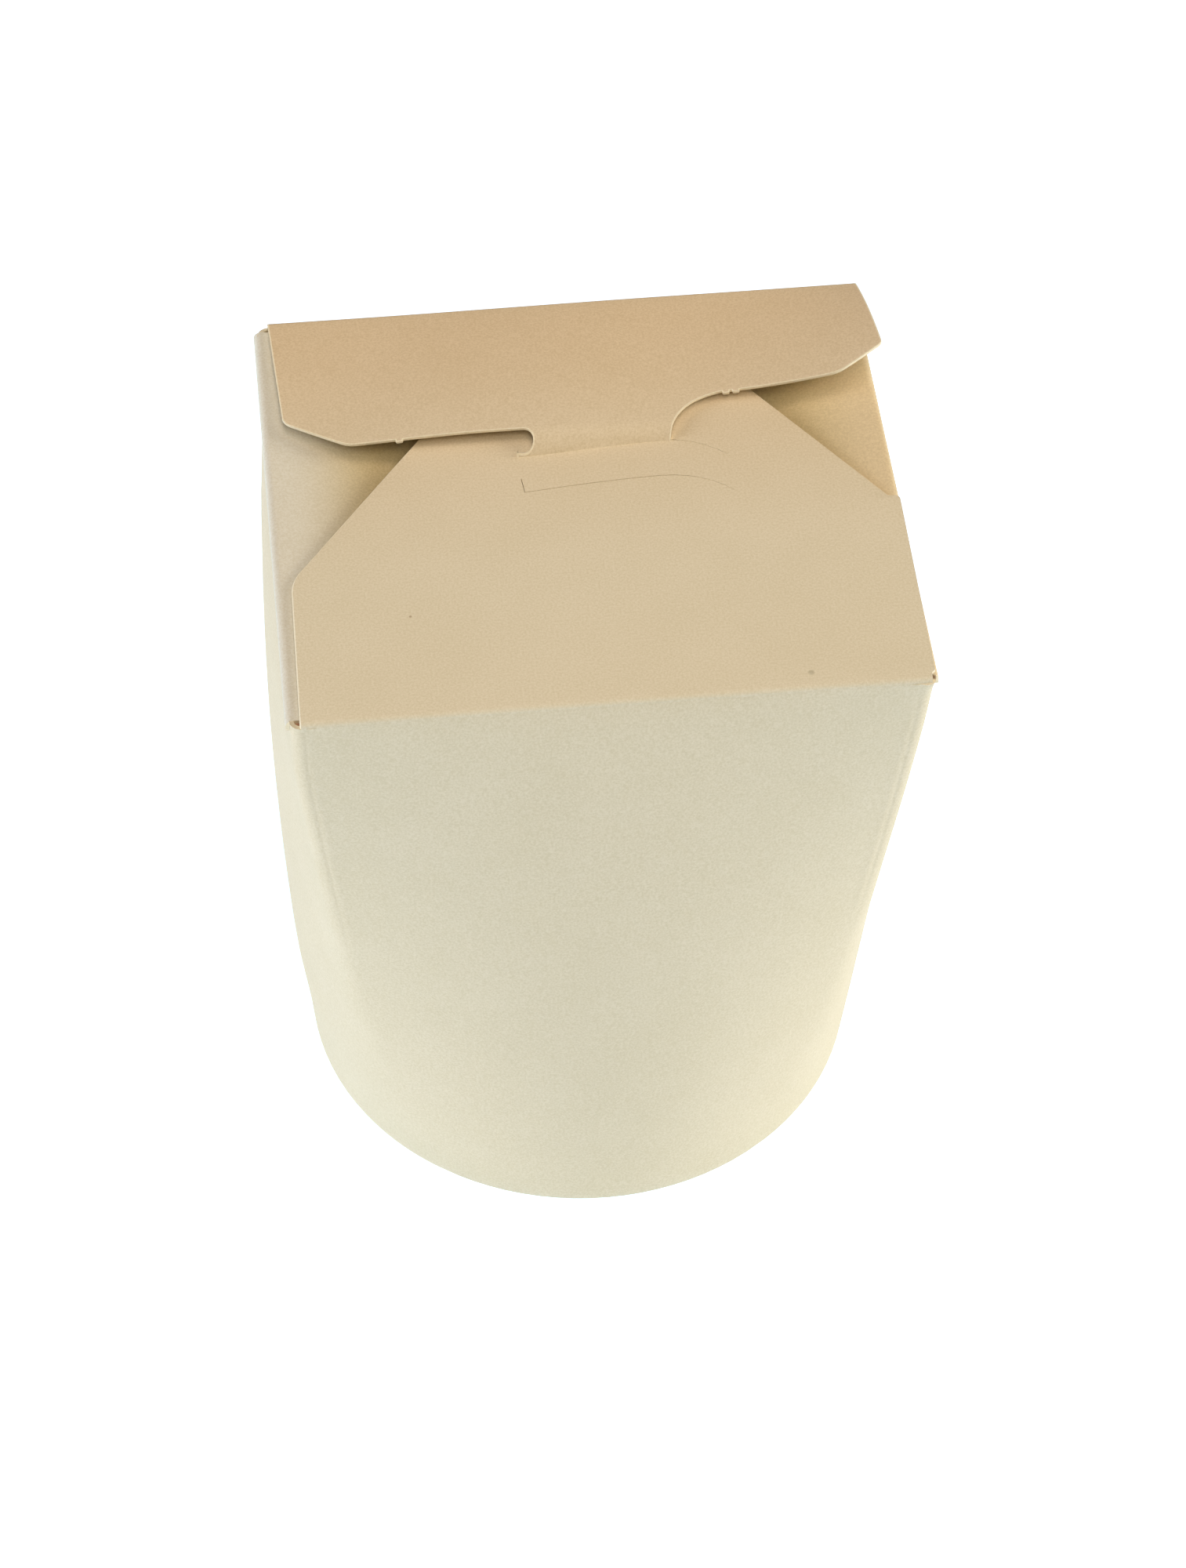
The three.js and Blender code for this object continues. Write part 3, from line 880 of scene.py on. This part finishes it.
# %% Cut, slice and bend the back flap
TONGUE_END_V = 33.4
NOTCH_X = -6.3
NOTCH_V = 32.0
HOOK_X = -8.9
NOTCH_ROUND = 1.68
NICK_LEFT = -26.3
NICKS_RIGHT = (23.4, 24.9)
SHOULDER_HANDLE = Vector((15.2, 24.0))


def nick(u, v):
    return [(u - 0.45, v), (u - 0.3, v + 0.45), (u + 0.3, v + 0.45), (u + 0.45, v)]


shoulder = [tuple(between(NECK, SHOULDER_HANDLE, SHOULDER, k / 12)) for k in range(13)]
back_edge = [(-44.2, -FRONT_ROLL - TUCK), (-43.1, 22.9), (-33.9, FREE_V), *nick(NICK_LEFT, FREE_V),
             (NOTCH_X, FREE_V), (NOTCH_X, NOTCH_V), (HOOK_X, NOTCH_V), (HOOK_X, TONGUE_END_V),
             (NECK.x, TONGUE_END_V), *shoulder, *nick(NICKS_RIGHT[0], RIGHT_FREE_V),
             *nick(NICKS_RIGHT[1], RIGHT_FREE_V), (40.5, RIGHT_FREE_V + 0.2), (47.55, 19.1),
             (46.3, -FRONT_ROLL - TUCK)]
notch = back_edge.index((NOTCH_X, FREE_V))
right_chamfer = len(back_edge) - 3
back_flap = cut_plate(back_edge, rounded=[(notch, NOTCH_ROUND, 8), (notch + 1, NOTCH_ROUND, 8),
                                          (right_chamfer, 1.2, 4), (right_chamfer + 1, 0.5, 3),
                                          (1, 1.0, 3), (2, 1.0, 3)])
thicken_and_slice(back_flap, spread(-43, 45, 2), roll_lines(FRONT_ROLL) + spread(2, 33, 1.2))
lay_on(back_flap, back_surface)
finish_piece(back_flap, "back_flap", [lid_card_painted_shade, cut_edge])

# %% [markdown]
# ## Floor
# The box stands on white paper that runs out of the picture. The paper glows
# faintly, so that it stays white right up to the box, as under studio lamps. A
# single large face is enough for a plain sheet.

# %% Floor
FLOOR_HALF = 6.0
PAPER_GLOW = 0.87

floor_bm = bmesh.new()
bmesh.ops.create_grid(floor_bm, x_segments=1, y_segments=1, size=FLOOR_HALF)
floor_mesh = bpy.data.meshes.new("floor")
floor_bm.to_mesh(floor_mesh)
floor_bm.free()
floor = bpy.data.objects.new("floor", floor_mesh)
bpy.context.scene.collection.objects.link(floor)
paper = bpy.data.materials.new("white paper")
paper.use_nodes = True
paper_shader = paper.node_tree.nodes["Principled BSDF"]
paper_shader.inputs["Base Color"].default_value = linear("#F4F4F2")
paper_shader.inputs["Roughness"].default_value = 0.95
paper_shader.inputs["Emission Color"].default_value = linear("#C1E2FF")
paper_shader.inputs["Emission Strength"].default_value = PAPER_GLOW
floor_mesh.materials.append(paper)
print("floor", 2 * FLOOR_HALF, "m square at z = 0")

# %% [markdown]
# ## Lights
# Four large round lamps give soft light without sharp shadows. The warm one
# overhead is weaker than those from the left, the right and high in front, so
# the lid looks tan and the walls look nearly white. Only the camera sees the
# white room behind, which lights nothing.

# %% Lights
AIM = Vector((0, 0, HEIGHT / 2 * MM))
LAMP_DISTANCE = 1.7
LAMP_SIZE = 0.9


def soft_light(name, towards, watts, tint):
    data = bpy.data.lights.new(name, "AREA")
    data.shape = "DISK"
    data.size = LAMP_SIZE
    data.energy = watts
    data.color = linear(tint)[:3]
    lamp = bpy.data.objects.new(name, data)
    direction = Vector(towards).normalized()
    lamp.location = AIM + direction * LAMP_DISTANCE
    lamp.rotation_mode = "QUATERNION"
    lamp.rotation_quaternion = direction.to_track_quat("Z", "Y")
    bpy.context.scene.collection.objects.link(lamp)
    print(f"{name}: {watts} W from {tuple(round(c, 2) for c in lamp.location)}")


soft_light("warm light overhead", (0.0, 0.001, 1.0), 6.2, "#FFE6D2")
soft_light("light from the left", (-1.0, 0.0, 0.404), 13.1, "#FFFDFD")
soft_light("light from the right", (1.0, 0.0, 0.404), 17.7, "#FFF4E2")
soft_light("light from high in front", (0.0, -1.0, 1.428), 9.3, "#FFF2DA")

world = bpy.data.worlds.new("pale room")
bpy.context.scene.world = world
world.use_nodes = True
world.node_tree.nodes["Background"].inputs["Color"].default_value = linear("#FFFFFF")
seen = add(world.node_tree, "ShaderNodeLightPath").outputs["Is Camera Ray"]
world.node_tree.links.new(seen, world.node_tree.nodes["Background"].inputs["Strength"])
bpy.context.scene.view_settings.view_transform = "Standard"

# %% [markdown]
# ## Camera
# The camera stands where it stood for the picture: high, in front and a little
# to the left. Its angles and distance were fitted to the outline of the real
# box, and they are turned into a matrix here, as a Track To constraint can't
# give the small roll.

# %% Camera
FOCAL_PIXELS = 5356.84
PICTURE_HEIGHT = 2000
YAW = math.radians(-6.8987)
PITCH = math.radians(48.8538)
ROLL = math.radians(0.92295)
DISTANCE = 662.209
SHIFT_RIGHT = 1.8829
SHIFT_UP = -4.6118
ORBIT_HEIGHT = 57.7881

back = Vector((math.sin(YAW) * math.cos(PITCH), -math.cos(YAW) * math.cos(PITCH),
               math.sin(PITCH)))
right = Vector((math.cos(YAW), math.sin(YAW), 0))
up = back.cross(right)
rolled_right = math.cos(ROLL) * right + math.sin(ROLL) * up
rolled_up = -math.sin(ROLL) * right + math.cos(ROLL) * up
orbit_centre = Vector((0, 0, ORBIT_HEIGHT))
eye = orbit_centre + back * DISTANCE + rolled_right * SHIFT_RIGHT + rolled_up * SHIFT_UP
camera_data = bpy.data.cameras.new("camera")
camera_data.sensor_fit = "AUTO"
camera_data.sensor_width = 36.0
camera_data.lens = FOCAL_PIXELS * camera_data.sensor_width / PICTURE_HEIGHT
camera = bpy.data.objects.new("camera", camera_data)
axes = Matrix((rolled_right, rolled_up, back)).transposed()
camera.matrix_world = Matrix.Translation(eye * MM) @ axes.to_4x4()
bpy.context.scene.collection.objects.link(camera)
bpy.context.scene.camera = camera
print("camera at", [round(c * MM, 4) for c in eye], "lens", round(camera_data.lens, 2))
